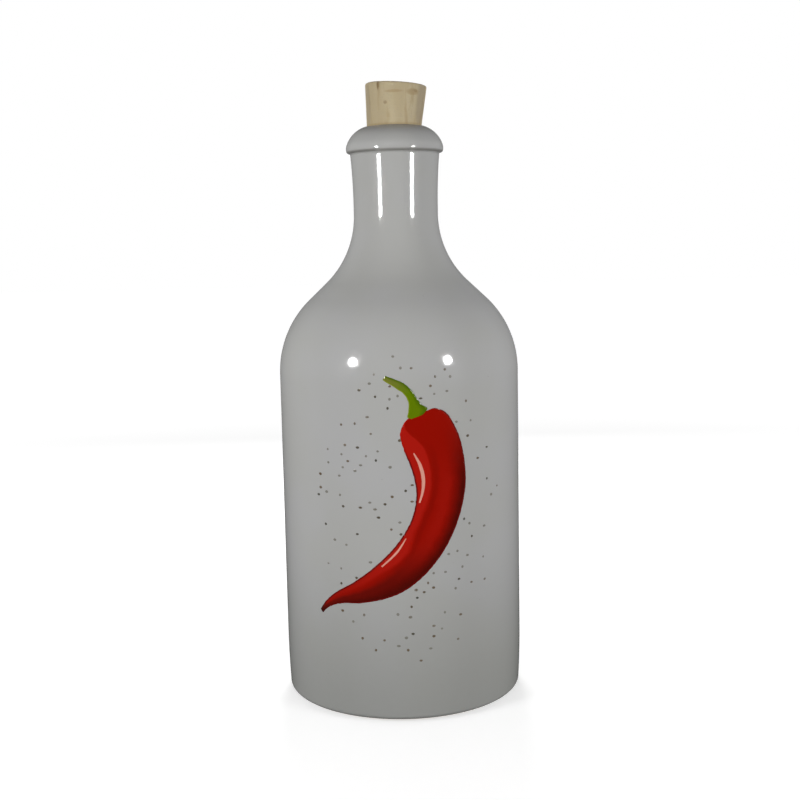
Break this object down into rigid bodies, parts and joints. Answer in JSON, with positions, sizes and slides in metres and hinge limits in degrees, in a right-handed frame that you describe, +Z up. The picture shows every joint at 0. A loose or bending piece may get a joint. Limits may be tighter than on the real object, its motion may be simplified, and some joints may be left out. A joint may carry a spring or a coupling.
{
  "type": "infused olive oil bottle",
  "caption": "Round-shouldered stoneware oil bottle with a narrow neck and a rounded lip, glazed pale grey, painted with a red chilli and shut with a tapered cork.",
  "frame": {"origin": "centre of the foot, on the plane that the bottle stands on", "axes": "+Z up along the bottle's axis, -Y out of the painted front, +X to the right as seen from the front"},
  "size_m": [0.082, 0.082, 0.2079],
  "materials": {
    "glaze": "glossy light grey glaze",
    "cork": "dry natural cork"
  },
  "bodies": {
    "root": {"bottle": "glaze", "cork": "cork"}
  },
  "joints": []
}
